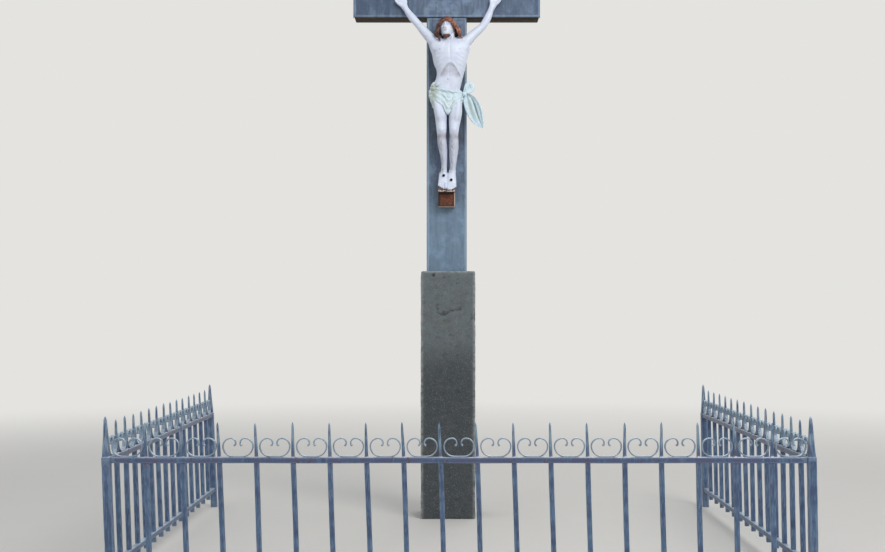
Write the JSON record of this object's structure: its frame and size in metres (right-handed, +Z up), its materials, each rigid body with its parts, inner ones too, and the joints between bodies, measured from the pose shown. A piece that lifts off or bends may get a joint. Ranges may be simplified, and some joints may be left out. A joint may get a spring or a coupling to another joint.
{
  "type": "wayside crucifix with pedestal and railing",
  "caption": "Wayside crucifix: a sheet-covered timber cross with a painted cast figure on a stone pedestal, inside a low wrought-iron railing on three sides.",
  "frame": {"origin": "on the ground under the axis of the cross, on the pedestal's underside", "axes": "+Z up; +Y from the railing's front to the wall behind the cross; +X to the viewer's right"},
  "size_m": [2.3219, 1.832, 2.696],
  "materials": {
    "stone": "weathered",
    "oak": "weathered",
    "zinc_cover": "matt",
    "rust_box": "rusty",
    "foot_rest": "painted",
    "figure_paint": "satin",
    "hair_paint": "satin",
    "cloth_paint": "satin",
    "nail_iron": "dark",
    "railing_iron": "weathered"
  },
  "bodies": {
    "root": {"pedestal": "stone", "shaft_timber": "oak", "crossbar_timber": "oak", "shaft_cover": "zinc_cover", "crossbar_cover": "zinc_cover", "top_arm_cover": "zinc_cover", "foot_box": "rust_box", "foot_wedge": "foot_rest", "torso": "figure_paint", "head": "figure_paint", "hair": "hair_paint", "beard": "hair_paint", "left_arm": "figure_paint", "right_arm": "figure_paint", "left_leg": "figure_paint", "right_leg": "figure_paint", "loincloth": "cloth_paint", "loincloth_knot": "cloth_paint", "loincloth_drape": "cloth_paint", "left_foot_nail": "nail_iron", "right_foot_nail": "nail_iron", "left_hand_nail": "nail_iron", "right_hand_nail": "nail_iron", "left_corner_post": "railing_iron", "left_wall_post": "railing_iron", "right_corner_post": "railing_iron", "right_wall_post": "railing_iron", "front_bars": "railing_iron", "front_rails": "railing_iron", "front_scrolls": "railing_iron", "left_bars": "railing_iron", "left_rails": "railing_iron", "left_scrolls": "railing_iron", "right_bars": "railing_iron", "right_rails": "railing_iron", "right_scrolls": "railing_iron"}
  },
  "joints": []
}
